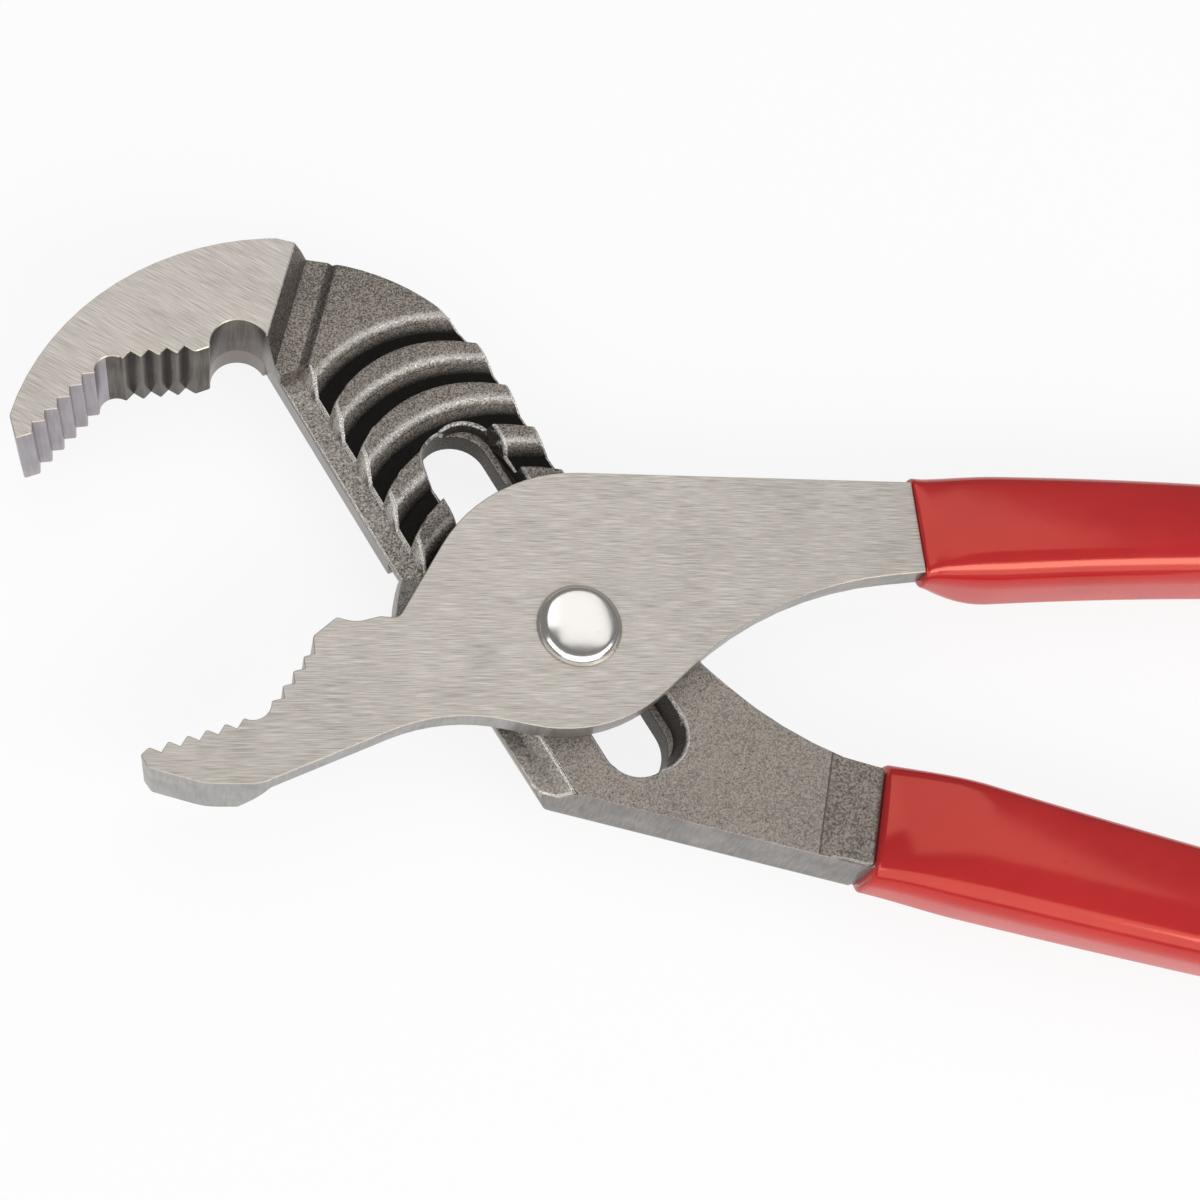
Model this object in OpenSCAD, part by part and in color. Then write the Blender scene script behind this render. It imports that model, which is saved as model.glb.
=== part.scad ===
// Water pump pliers: two crossed forged arms, a pivot bolt that shifts along a slot,
// a tongue that locks in curved grooves, and two dipped grips. All sizes in millimetres.
// The pivot bolt stands on the Z axis, and the nut's outer face lies on Z = 0.

/* [Thickness] */

// Thickness of the upper jaw, front face to back face
jaw_t = 14; // [13.5:0.25:15]
// Thickness of the lower jaw, front face to back face
lower_jaw_t = 13; // [11.5:0.25:13.25]
// Thickness of the tongue arm's flat plate
plate_t = 4.8; // [4.2:0.1:5.4]

/* [Pivot] */

// Diameter of the bolt's domed head
head_d = 13.8; // [13:0.1:16]
// Height of the bolt's head
head_h = 2.2; // [1.6:0.1:3]
// Upright rim below the head's dome
head_rim = 0.7; // [0.4:0.1:1]
// Diameter of the bolt's shank
shank_d = 12; // [10.8:0.1:12.4]
// Diameter of the bolt's threaded end
thread_d = 8; // [6:0.5:9]
// Width of the nut across its flats
nut_flats = 17; // [15:0.5:19]
// Height of the nut
nut_h = 5; // [4:0.5:7]
// Chamfer on the nut's outer corners
nut_chamfer = 0.9; // [0.4:0.1:1.2]

/* [Fits] */

// Radial play of the shank in the plate's bore and across the slot
running_fit = 0.05; // [0.02:0.01:0.08]
// Play between flat faces that slide on each other
face_gap = 0.1; // [0.06:0.02:0.2]
// Radial play of the thread in the nut
thread_fit = 0.03; // [0.02:0.01:0.06]
// Gap round a tang inside its grip
dip_gap = 0.05; // [0.04:0.01:0.1]
// Play of the tongue against its groove's load wall
tongue_gap = 0.3; // [0.2:0.05:0.5]
// Room between the tongue and the grooves' ends while the arms stand open
tongue_clear = 0.5; // [0.3:0.1:1]

/* [Adjustment] */

// Number of grooves
positions = 7; // [5:1:8]
// Steps between the groove nearest the jaw and the pivot's place
rest_step = 4; // [3:1:4]
// Distance from groove to groove
pitch = 8.9; // [8.4:0.1:9.6]
// Direction of the slot from the pivot to the upper jaw
slot_angle = 118; // [114:1:122]
// Slot length left over past the position nearest the jaw
slot_spare = 0.3; // [0.2:0.1:1]
// Slot length left over past the position nearest the handle
slot_tail = 1.9; // [0.4:0.1:2.2]
// Radius of a groove's load wall about its pivot position
groove_r = 22.6; // [21.8:0.1:23.4]
// Width of a groove's flat floor
groove_floor = 2.9; // [2.6:0.1:3.2]
// Depth of a groove
groove_depth = 2.4; // [2.1:0.1:2.6]
// Run of a groove's sloping wall
groove_slope = 1.2; // [0.9:0.1:1.4]
// Radius of the rounded crest between grooves
crest_r = 1.5; // [1.2:0.1:1.7]
// Height of the tongue
tongue_h = 2; // [1.6:0.1:2.1]
// Width of the tongue's tip
tongue_tip = 2.3; // [1.8:0.1:2.4]
// Radius of the tongue's base beside the plate
tongue_base_r = 29.3; // [28.8:0.1:29.8]
// Height of the tongue's base beside the plate
tongue_base_h = 2.6; // [2:0.1:3.4]
// Angle that the tongue spans about the pivot
tongue_arc = 13; // [10:1:16]

/* [Neck] */

// Distance from the slot's axis to the neck's left edge
neck_left = 19; // [18:0.25:20]
// Distance from the slot's axis to the neck's right edge, level with the pivot
neck_right = 14.7; // [14:0.1:15.4]
// Lean of the neck's right edge towards the jaw
neck_taper = 0.3; // [0:0.1:0.8]
// Draft of the left edge's back above its bend
flank_lean = 0.7; // [0.4:0.05:1]
// Draft of the left edge's back below its bend
foot_lean = 1.6; // [1:0.1:2]
// Lean of the neck's left edge below its bend
neck_draw = 1.2; // [0.8:0.1:1.6]
// Width of the lowered strip along the neck's left edge
strip_w = 3.6; // [3.2:0.1:4]
// Depth of the strip below the grooves' lands
strip_depth = 2.9; // [2.7:0.1:3.4]
// Run of the slope from the lands down to the strip
strip_run = 1.8; // [1.2:0.1:2.4]
// Distance from the strip's end to the first groove's crest
strip_end = 2; // [1.4:0.2:3]
// Widening of the slot's forged mouth to the right
flare = 2.4; // [1.8:0.1:2.8]
// Depth of the slot's forged mouth
flare_depth = 4.4; // [3:0.1:5]

/* [Teeth] */

// Distance from tooth to tooth
tooth_pitch = 2.8; // [2.6:0.05:2.95]
// Depth of a tooth
tooth_depth = 1.25; // [1:0.05:1.4]
// Teeth in each jaw's front row
front_teeth = 6; // [5:1:6]
// Teeth in the lower jaw's rear row
lower_rear_teeth = 4; // [3:1:4]
// Teeth in the upper jaw's rear row
upper_rear_teeth = 5; // [4:1:5]
// Radius of the round notch between a jaw's two rows
notch_r = 2.7; // [2.6:0.1:3.2]

/* [Jaws] */

// Direction of the lower front row, from the notch to the tip
lower_front_turn = 197.9; // [195:0.5:201]
// Direction of the lower rear row, from the notch to the pivot
lower_rear_turn = 56.1; // [54:0.5:58]
// Direction of the upper front row across the slot's axis, from the notch to the tip
upper_front_turn = 203.5; // [201:0.5:206]
// Direction of the upper rear row across the slot's axis, from the notch to the neck
upper_rear_turn = -18.4; // [-20:0.4:-17]
// Radius of the upper jaw's back
jaw_back_r = 45; // [42:0.5:48]
// Radius of the relief between the upper jaw and the neck
relief_r = 4.6; // [4:0.1:5]
// Lean of the upper jaw's step from front to foot
step_run = 2.3; // [1.5:0.1:3]
// Distance from the step's foot to the crease beside it
crease_at = 4.4; // [3.6:0.2:5]
// Depth of the crease
crease_depth = 0.5; // [0.3:0.1:0.7]
// Width of the crease
crease_w = 1.5; // [1:0.1:2]
// Drop of the jaw's rounded heel from front to foot
heel_lean = 1; // [0.6:0.1:1.4]
// Lean of the lower jaw's step behind the plate
lower_step_run = 4; // [2:0.5:5]

/* [Handles] */

// Radius of the tongue arm's rounded back about the pivot
plate_r = 27; // [26:0.25:28]
// Radius of the tongue arm's rounded edge below the pivot
boss_r = 25; // [22:0.5:27]
// Reach of the lines that meet below the pivot
boss_low = 19.2; // [18.8:0.1:19.8]
// Distance from the pivot to the upper grip's mouth
upper_start = 61; // [58:1:66]
// Width of the upper handle at the grip's mouth
upper_w = 16.9; // [16:0.2:17.6]
// Width of the lower handle at the grip's mouth
lower_w = 17.5; // [16.6:0.2:18.2]
// Direction of the lower handle across the slot's axis
lower_turn = -43.6; // [-46:0.4:-42]
// Width of both tangs at their ends
tang_end_w = 12.6; // [11:0.2:14]
// Length of the upper grip
upper_len = 107; // [95:1:115]
// Length of the lower grip
lower_len = 114; // [102:1:122]
// Outward bow of the upper handle
upper_bow = 1.4; // [0.5:0.1:2]
// Outward bow of the lower handle
lower_bow = 0.7; // [0.3:0.1:1.4]
// Bevel on the lower handle's outer edge
draft = 1.1; // [0.6:0.1:1.4]
// Rise of the lower handle's front towards its grip
lower_rise = 1.4; // [0.8:0.1:1.6]
// Length of that rise
rise_run = 7; // [6:0.5:7.5]

/* [Grips] */

// Grip wall beside the tang
grip_wall = 1.4; // [1.2:0.1:1.8]
// Grip wall in front of the tang
grip_face = 1; // [0.8:0.1:1.3]
// Grip wall behind the tang
grip_back = 1.7; // [1.4:0.1:2]
// Rounding of the grips' long edges
grip_round = 3.2; // [2.4:0.1:3.6]
// Length over which a grip swells from its mouth
grip_swell = 17; // [14:1:22]
// Widening of a grip on each side past its mouth
grip_bulge = 0.7; // [0.3:0.1:1]
// Length of a grip's domed end
grip_cap = 7; // [6:0.5:9]

/* [Hidden] */

// Facets of true curves, and degrees per segment of a rounded outline
$fn = 64;
arc_step = 5;
// Spare length of cutting shapes past the faces they cut
spare = 1;
reach = 200;
// Lift of a rounded edge that makes it cross its face at an angle
lift = 0.06;
// Angle at which a groove's slope meets the rounded crest
crest_turn = 160;

// Levels from the nut's outer face to the bolt's head
back_z = nut_h + face_gap;
front_z = back_z + jaw_t;
plate_z = front_z - plate_t;
joint_z = plate_z - face_gap;
jaw_back_z = front_z - lower_jaw_t;

// Slot and positions along its axis
slot_w = shank_d + 2 * running_fit;
slot_turn = slot_angle - 90;
first_y = rest_step * pitch;
last_y = first_y - (positions - 1) * pitch;
groove_out = groove_r + groove_floor + groove_slope + crest_r;
root_y = first_y + groove_out;

// Tongue, placed so that it clears the grooves' ends in the open pose
tongue_r = groove_r + tongue_gap;
tongue_ease = 0.4;
tongue_lean = 0.6;
tongue_flare = groove_slope + tongue_ease;
tongue_from = acos(-(neck_left - strip_w + tongue_clear) / tongue_r) + slot_turn;

// Lower handle's frame on the channel arm, and the upper handle's on the tongue arm
handle_right = 27.3;
handle_drop = 32.5;
lower_at = [handle_right, last_y - handle_drop];
upper_at = [upper_start, plate_r - upper_w / 2];
tang_short = 6;
// Step from an arm down to its tang, and the tang's root inside the arm
tang_step = 0.2;
tang_root = 3;
upper_tang = upper_len - tang_short;
lower_tang = lower_len - tang_short;
tang_back = back_z + 2 * tang_step;
lower_top = front_z - tang_step;
lower_back = back_z + spare;

// Unit vector, direction of an angle, reversed list and soft step
function unit(v) = v / norm(v);
function heading(a) = [cos(a), sin(a)];
function flipped(list) = [for (i = [len(list) - 1:-1:0]) list[i]];
function ease(t) = t <= 0 ? 0 : t >= 1 ? 1 : t * t * (3 - 2 * t);

// Crossing of two lines, each given by a point and a direction
function crossing(p, d, q, e) =
    let (k = d[0] * e[1] - d[1] * e[0], w = q - p)
    p + d * ((w[0] * e[1] - w[1] * e[0]) / k);

// Arc about a centre, from one angle to another
function arc(c, r, from, to) =
    let (n = max(1, ceil(abs(to - from) / arc_step)))
    [for (i = [0:n]) c + r * heading(from + (to - from) * i / n)];

// Arc of a given radius between two points, bulging left (1) or right (-1) of the way
function bulge(p, q, r, side) =
    let (
        half = norm(q - p) / 2,
        rr = max(r, half * 1.02),
        way = unit(q - p),
        left = [-way[1], way[0]],
        c = (p + q) / 2 - side * left * sqrt(rr * rr - half * half),
        from = atan2(p[1] - c[1], p[0] - c[0]),
        to = atan2(q[1] - c[1], q[0] - c[0]),
        sweep = side > 0 ? -((from - to + 720) % 360) : (to - from + 720) % 360
    )
    arc(c, rr, from, from + sweep);

// Outline corner [x, y, r] rounded between its neighbours
function round_corner(a, b, c) =
    let (
        p = [b[0], b[1]],
        u = unit([a[0], a[1]] - p),
        v = unit([c[0], c[1]] - p),
        half = acos(max(-1, min(1, u * v))) / 2,
        mid = p + unit(u + v) * b[2] / sin(half),
        s = p + u * b[2] / tan(half) - mid,
        e = p + v * b[2] / tan(half) - mid,
        from = atan2(s[1], s[0]),
        gap = atan2(e[1], e[0]) - from,
        sweep = gap > 180 ? gap - 360 : gap < -180 ? gap + 360 : gap
    )
    arc(mid, b[2], from, from + sweep);

// Outline with every corner that states a radius rounded
function outline(list) =
    let (n = len(list))
    [for (i = [0:n - 1])
        let (b = list[i])
        each (len(b) == 2 || b[2] == 0)
            ? [[b[0], b[1]]]
            : round_corner(list[(i + n - 1) % n], b, list[(i + 1) % n])];

// Row of V teeth, peaks on the line, valleys to its left (1) or right (-1)
function tooth_row(start, turn, count, side) =
    let (way = heading(turn), in = side * [-way[1], way[0]])
    [for (i = [0:2 * count - 2])
        start + way * i * tooth_pitch / 2 + in * (i % 2) * tooth_depth];

// Tang outline in its handle's frame, from the grip's mouth round its end and back
function bend(x, len, bow) = 4 * bow * x / len * (1 - x / len);
function tang_half(x, w, len) = w / 2 + (tang_end_w - w) / 2 * x / len;
function tang_side(w, len, bow, side, gap) =
    concat(
        [[-tang_root, side * (w / 2 - tang_step + gap)]],
        [for (i = [1:tang_steps])
            let (x = len * i / tang_steps)
            [x, bend(x, len, bow) + side * (tang_half(x, w, len) - tang_step + gap)]]
    );
function tang_loop(w, len, bow, gap) =
    concat(
        tang_side(w, len, bow, -1, gap),
        [[len + gap, -tang_end_w / 2 + tang_corner], [len + gap, tang_end_w / 2 - tang_corner]],
        flipped(tang_side(w, len, bow, 1, gap))
    );
tang_steps = 10;
tang_corner = 2;

// Lower jaw: notch ends, rows, tip and nose, in the tongue arm's frame
lower_notch_rear = [-47.7, -12.2];
lower_notch_front = [-51.7, -14.8];
tip_lead = [-1.2, -1.2];
tip_drop = [1.2, -1.9];
heel_lead = [1.5, 3.3];
last_tooth_turn = 40;
last_tooth_share = 0.62;
lower_rear = tooth_row(lower_notch_rear, lower_rear_turn, lower_rear_teeth, -1);
lower_front = tooth_row(lower_notch_front, lower_front_turn, front_teeth, 1);
lower_rear_end = lower_rear[len(lower_rear) - 1];
lower_tip = lower_front[len(lower_front) - 1] + tip_lead;
lower_heel = lower_rear_end + heel_lead;
last_tooth_way = heading(lower_rear_turn - last_tooth_turn);
lower_last = lower_rear_end + last_tooth_way * tooth_pitch * last_tooth_share;

// Corners of the tongue arm as [x, y, radius]
nose = [-37.9, 1.2];
nose_dip = [-35, 0.4, 5];
nose_rise = [-31.3, 1.4, 2];
flank_foot_r = 1.6;
chin = [-57.2, -24.7, 12];
jowl = [-49.4, -24.9, 6];
throat = [-21.5, -13.4, 30];
boss_at = 3.8;
crotch_at = 34;
crotch_drop = 2.8;
crotch_r = 66;

// Lower jaw's step behind the plate
lower_step_at = nose + [1.6, 0];
lower_step_turn = 246;

// Tongue arm outline from the grip's mouth over the back, the jaw and the boss
flank_turn = 60;
flank_share = [-0.893, 0.319];
flank_at = flank_share * plate_r;
back_corner = crossing([0, plate_r], [1, 0], flank_at, heading(flank_turn));
flank_foot = crossing([0, nose[1]], [1, 0], flank_at, heading(flank_turn));
upper_low = upper_at - [0, upper_w / 2];
upper_high = upper_at + [0, upper_w / 2];
arm_outline = outline(concat(
    [[back_corner[0], back_corner[1], plate_r], [flank_foot[0], flank_foot[1], flank_foot_r]],
    [nose_rise, nose_dip, nose, lower_heel, lower_last],
    flipped(lower_rear),
    bulge(lower_notch_rear, lower_notch_front, notch_r, 1),
    lower_front,
    [lower_tip, lower_tip + tip_drop, chin, jowl, throat],
    [[boss_at, -boss_low, boss_r], [crotch_at, upper_low[1] - crotch_drop, crotch_r]],
    [upper_low, upper_high]
));

// Upper jaw: notch ends, rows and tip, across and along the slot's axis
upper_notch_front = [-46.1, root_y + 8.3];
upper_notch_rear = [-41.2, root_y + 8.8];
upper_front = tooth_row(upper_notch_front, upper_front_turn, front_teeth, -1);
upper_rear = tooth_row(upper_notch_rear, upper_rear_turn, upper_rear_teeth, 1);
upper_front_end = upper_front[len(upper_front) - 1];
upper_tip_lead = [-2.6, 0.3];
upper_tip_rise = [0.9, 4];
upper_tip = upper_front_end + upper_tip_lead;
upper_tip_back = upper_tip + upper_tip_rise;
relief_rise = 3.5;
relief_turn = 160;
relief_at = [-neck_left - relief_r, root_y + relief_rise];

// Upper jaw's step, a sloping wall along a line across the neck, and its rounded heel
step_at = [-15.2, root_y + 4.1];
step_turn = 47.8;
jaw_heel = [-7, root_y + 18.35];
heel_foot = [-4.4, root_y + 16.2];
heel_at = [-7.6, root_y + 18.05];
heel_turn = -40;

// Channel arm's corners: heights on the slot's axis and radii
neck_top = 3.6;
neck_top_r = 35.5;
bend_drop = 9.8;
bend_r = 30;
foot_r = 7;
crook_r = 66;
crook_lean = 3.8;

// Channel arm outline from the upper tip along the teeth, down the neck and back up
lower_along = heading(lower_turn);
lower_out = [-lower_along[1], lower_along[0]] * lower_w / 2;
right_way = heading(90 + neck_taper);
right_at = [neck_right, 0];
left_bend = [-neck_left, first_y - bend_drop];
left_way = heading(-90 + neck_draw);
left_foot = crossing(left_bend, left_way, lower_at - lower_out, lower_along);
crook_way = heading(lower_turn - crook_lean);
right_foot = crossing(right_at, right_way, lower_at + lower_out, crook_way);
right_top = crossing(right_at, right_way, [0, root_y + neck_top], [1, 0]);
neck_corners = concat(
    [[left_bend[0], left_bend[1], bend_r], [left_foot[0], left_foot[1], foot_r]],
    [lower_at - lower_out, lower_at + lower_out],
    [[right_foot[0], right_foot[1], crook_r], [right_top[0], right_top[1], neck_top_r]]
);
channel_outline = outline(concat(
    [upper_tip],
    flipped(upper_front),
    bulge(upper_notch_front, upper_notch_rear, notch_r, 1),
    upper_rear,
    arc(relief_at, relief_r, relief_turn, 0),
    neck_corners,
    [heel_foot],
    bulge(jaw_heel, upper_tip_back, jaw_back_r, -1)
));

// Long prism along a line: its section is given across the line and up
module bar(at, turn, from, to, section) {
    translate([at[0], at[1], 0])
        rotate([0, 0, turn])
            translate([from, 0, 0])
                rotate([90, 0, 90])
                    linear_extrude(height = to - from)
                        polygon(section);
}

// Slab between two levels
module slab(points, low, high) {
    translate([0, 0, low])
        linear_extrude(height = high - low)
            polygon(points);
}

// Tang of a handle between its outline and its side profile
module tang(loop, profile) {
    intersection() {
        translate([0, 0, -spare])
            linear_extrude(height = reach)
                polygon(loop);
        translate([0, reach / 2, 0])
            rotate([90, 0, 0])
                linear_extrude(height = reach)
                    polygon(profile);
    }
}

// Side profiles of the two tangs, along the handle and up
function upper_profile(gap) = [
    [-tang_root, plate_z + tang_step - gap],
    [spare, plate_z + tang_step - gap],
    [grip_swell, tang_back - gap],
    [reach, tang_back - gap],
    [reach, front_z - tang_step + gap],
    [-tang_root, front_z - tang_step + gap]
];
function lower_profile(gap) = [
    [-tang_root, back_z + tang_step - gap],
    [spare, back_z + tang_step - gap],
    [grip_swell, lower_back - gap],
    [reach, lower_back - gap],
    [reach, lower_top + gap],
    [grip_swell, lower_top + gap],
    [spare, joint_z + lower_rise - tang_step + gap],
    [-tang_root, joint_z - tang_step + gap]
];

module on_upper_handle() {
    translate([upper_at[0], upper_at[1], 0])
        children();
}

module on_channel() {
    rotate([0, 0, slot_turn])
        children();
}

module on_lower_handle() {
    on_channel()
        translate([lower_at[0], lower_at[1], 0])
            rotate([0, 0, lower_turn])
                children();
}

// Lower jaw's full thickness, ending in a sloping step behind the plate
module lower_jaw_block() {
    run = lower_step_run / (plate_z - jaw_back_z);
    difference() {
        slab(arm_outline, jaw_back_z, plate_z + spare);
        bar(lower_step_at, lower_step_turn, -reach, reach, [
            [2 * spare * run, plate_z + 2 * spare],
            [-lower_step_run - spare * run, jaw_back_z - spare],
            [reach, jaw_back_z - spare],
            [reach, plate_z + 2 * spare]
        ]);
    }
}

// Curved tongue on the plate's back
module tongue() {
    rotate([0, 0, tongue_from])
        rotate_extrude(angle = tongue_arc)
            polygon([
                [tongue_r, joint_z - tongue_h],
                [tongue_r + tongue_tip, joint_z - tongue_h],
                [tongue_r + tongue_tip + tongue_flare, joint_z],
                [tongue_r + tongue_tip + tongue_flare, plate_z],
                [tongue_base_r, plate_z],
                [tongue_base_r - tongue_lean, plate_z + tongue_base_h],
                [tongue_r, plate_z + tongue_base_h]
            ]);
}

module tongue_arm() {
    color([0.72, 0.7, 0.67])
        difference() {
            union() {
                slab(arm_outline, plate_z, front_z);
                lower_jaw_block();
                tongue();
                on_upper_handle()
                    tang(tang_loop(upper_w, upper_tang, upper_bow, 0), upper_profile(0));
            }
            translate([0, 0, -spare])
                cylinder(d = slot_w, h = reach);
        }
}

// Slot across the neck, straight and round-ended
module slot_cut() {
    low = last_y - slot_tail;
    high = first_y + slot_spare;
    translate([-slot_w / 2, low, -spare])
        cube([slot_w, high - low, reach]);
    for (y = [low, high])
        translate([0, y, -spare])
            cylinder(d = slot_w, h = reach);
}

// Slot's forged mouth: wider at the front, mostly to the right
module mouth_cut() {
    low = last_y - slot_tail;
    high = first_y + slot_spare + flare / 2;
    floor_z = joint_z - flare_depth;
    tall = flare_depth + spare;
    low_r = slot_w / 2 - flare / 2;
    top_r = low_r + flare / 2 * tall / flare_depth;
    translate([flare, 0, 0]) {
        for (y = [low, high])
            translate([0, y, floor_z])
                cylinder(r1 = low_r, r2 = top_r, h = tall);
        bar([0, 0], 90, low, high, [
            [-low_r, floor_z],
            [low_r, floor_z],
            [top_r, floor_z + tall],
            [-top_r, floor_z + tall]
        ]);
    }
}

// One curved groove about a pivot position
module groove_cut(y) {
    foot = groove_r + groove_floor;
    crest = foot + groove_slope;
    translate([0, y, joint_z])
        rotate_extrude(angle = 180)
            polygon(concat(
                [[groove_r, spare], [groove_r, -groove_depth], [foot, -groove_depth]],
                arc([crest + crest_r, lift - crest_r], crest_r, crest_turn, 90),
                [[crest + crest_r, spare]]
            ));
}

// Lowered strip along the neck's left edge
module strip_cut() {
    tall = strip_depth + spare;
    bar([-neck_left, 0], 90, -reach, root_y - strip_end, [
        [spare, joint_z + spare],
        [spare, joint_z - strip_depth],
        [-strip_w, joint_z - strip_depth],
        [-strip_w - strip_run * tall / strip_depth, joint_z + spare]
    ]);
}

// Space above the neck's lands, from the upper jaw's sloping step to the lower grip
module lands_cut() {
    run = step_run * (jaw_t + spare) / jaw_t;
    difference() {
        bar(step_at, step_turn, -reach, reach, [
            [0, joint_z],
            [run, front_z + spare],
            [-reach, front_z + spare],
            [-reach, joint_z]
        ]);
        rise_wedge();
    }
    heel_cut();
}

// Rounded heel of the upper jaw, leaning outwards to its foot
module heel_cut() {
    long = 3 * step_run;
    bar(heel_at, heel_turn, -long, long, [
        [heel_lean, joint_z],
        [-heel_lean / jaw_t, front_z + spare],
        [long, front_z + spare],
        [long, joint_z]
    ]);
}

// Crease beside the step's foot
module crease_cut() {
    half = crease_w / 2;
    tall = crease_depth + spare;
    bar(step_at, step_turn, -reach / 10, reach, [
        [-crease_at, joint_z - crease_depth],
        [-crease_at + half * tall / crease_depth, joint_z + spare],
        [-crease_at - half * tall / crease_depth, joint_z + spare]
    ]);
}

// Draft on the back of the neck's left edge, above and below its bend
module flank_cut(turn, from, to, lean) {
    top_z = joint_z - strip_depth - spare / 2;
    run = lean * (top_z - back_z + spare) / (top_z - back_z);
    bar(left_bend, turn, from, to, [
        [spare, top_z],
        [0, top_z],
        [-run, back_z - spare],
        [spare, back_z - spare]
    ]);
}

// Lower handle's front, rising to the grip
module rise_wedge() {
    translate([lower_at[0], lower_at[1], 0])
        rotate([0, 0, lower_turn])
            translate([0, lower_w, 0])
                rotate([90, 0, 0])
                    linear_extrude(height = 2 * lower_w)
                        polygon([
                            [-rise_run * (1 + spare / lower_rise), joint_z - spare],
                            [spare, joint_z - spare],
                            [spare, joint_z + lower_rise * (1 + spare / rise_run)]
                        ]);
}

// Bevel along the lower handle's outer edge, up to the grip
module draft_cut() {
    foot_z = back_z + spare;
    run = draft / (joint_z + lower_rise - foot_z);
    bar(lower_at - lower_out, lower_turn, -reach, spare / 2, [
        [-spare, front_z],
        [-spare, foot_z],
        [0, foot_z],
        [run * (front_z - foot_z), front_z]
    ]);
}

module channel_arm() {
    color([0.5, 0.48, 0.46])
        on_channel()
            difference() {
                union() {
                    difference() {
                        slab(channel_outline, back_z, front_z);
                        lands_cut();
                    }
                    translate([lower_at[0], lower_at[1], 0])
                        rotate([0, 0, lower_turn])
                            tang(tang_loop(lower_w, lower_tang, -lower_bow, 0), lower_profile(0));
                }
                slot_cut();
                mouth_cut();
                strip_cut();
                flank_cut(90, -spare, relief_at[1] - left_bend[1], flank_lean);
                flank_cut(90 + neck_draw, -reach, 0, foot_lean);
                crease_cut();
                draft_cut();
                for (i = [0:positions - 1])
                    groove_cut(first_y - i * pitch);
            }
}

module pivot_bolt() {
    head_z = front_z + face_gap;
    dome = head_h - head_rim;
    dome_r = (pow(head_d / 2, 2) + pow(dome, 2)) / (2 * dome);
    dome_turn = asin(head_d / 2 / dome_r);
    color([0.82, 0.82, 0.84])
        rotate_extrude()
            polygon(concat(
                [[0, 0], [thread_d / 2, 0], [thread_d / 2, nut_h]],
                [[shank_d / 2, nut_h], [shank_d / 2, head_z], [head_d / 2, head_z]],
                arc([0, head_z + head_h - dome_r], dome_r, 90 - dome_turn, 90)
            ));
}

module pivot_nut() {
    corner_r = nut_flats / 2 / cos(30);
    color([0.7, 0.7, 0.72])
        difference() {
            intersection() {
                cylinder(r = corner_r, h = nut_h, $fn = 6);
                rotate_extrude()
                    polygon([
                        [0, 0],
                        [corner_r - nut_chamfer / tan(30), 0],
                        [corner_r + spare, nut_chamfer + spare * tan(30)],
                        [corner_r + spare, nut_h],
                        [0, nut_h]
                    ]);
            }
            translate([0, 0, -spare])
                cylinder(d = thread_d + 2 * thread_fit, h = nut_h + 2 * spare);
        }
}

// Grip sections: a rounded box at each station along the handle
ring_steps = 5;
ring_count = 4 * (ring_steps + 1);
swell_steps = 5;
body_steps = 10;
cap_steps = 6;
cap_turn = 82;
lip = 0.7;
lip_start = 0.2;
lip_depth = 0.42;
function grip_stations(len) = concat(
    [dip_gap, lip_start, lip],
    [for (i = [1:swell_steps]) lip + (grip_swell - lip) * i / swell_steps],
    [for (i = [1:body_steps]) grip_swell + (len - grip_cap - grip_swell) * i / body_steps],
    [for (i = [1:cap_steps]) len - grip_cap + grip_cap * sin(cap_turn * i / cap_steps)]
);
function cap_scale(x, len) =
    x <= len - grip_cap ? 1 : sqrt(1 - pow((x - len + grip_cap) / grip_cap, 2));
function lip_inset(x) = x < lip ? lip_depth * pow(1 - x / lip, 2) : 0;
function ring(x, mid, half, low, high, r) =
    [for (k = [0:3])
        let (cy = (k == 0 || k == 3 ? 1 : -1) * (half - r), cz = k < 2 ? high - r : low + r)
        for (j = [0:ring_steps])
            let (a = 90 * (k + j / ring_steps))
            [x, mid + cy + r * cos(a), cz + r * sin(a)]];
function grip_ring(x, len, w, bow, low, high) =
    let (
        f = cap_scale(x, len),
        inset = lip_inset(x),
        s = ease(x / grip_swell),
        tang_len = len - tang_short,
        wall = grip_wall + grip_bulge * s - inset,
        half = (tang_half(min(x, tang_len), w, tang_len) + wall) * f,
        lo = low[0] + (low[1] - low[0]) * min(1, x / grip_swell) + inset,
        hi = high[0] + (high[1] - high[0]) * s - inset,
        mid = (lo + hi) / 2,
        tall = (hi - lo) / 2 * f
    )
    ring(x, bend(x, tang_len, bow), half, mid - tall, mid + tall, min(grip_round, tall) * f);

// Solid grip skin through its sections
module grip_skin(len, w, bow, low, high) {
    stations = grip_stations(len);
    last = len(stations) - 1;
    points = [for (x = stations) each grip_ring(x, len, w, bow, low, high)];
    sides = [for (i = [0:last - 1], j = [0:ring_count - 1])
        let (
            a = i * ring_count + j,
            b = i * ring_count + (j + 1) % ring_count,
            c = b + ring_count,
            d = a + ring_count
        )
        each [[a, d, c], [a, c, b]]];
    ends = [
        [for (j = [0:ring_count - 1]) j],
        [for (j = [ring_count - 1:-1:0]) last * ring_count + j]
    ];
    polyhedron(points, concat(sides, ends));
}

module upper_grip() {
    low = [plate_z - grip_face, tang_back - grip_back];
    high = [front_z + grip_face, front_z + grip_face];
    color([0.76, 0.2, 0.18])
        on_upper_handle()
            difference() {
                grip_skin(upper_len, upper_w, upper_bow, low, high);
                tang(tang_loop(upper_w, upper_tang, upper_bow, dip_gap), upper_profile(dip_gap));
            }
}

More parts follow.
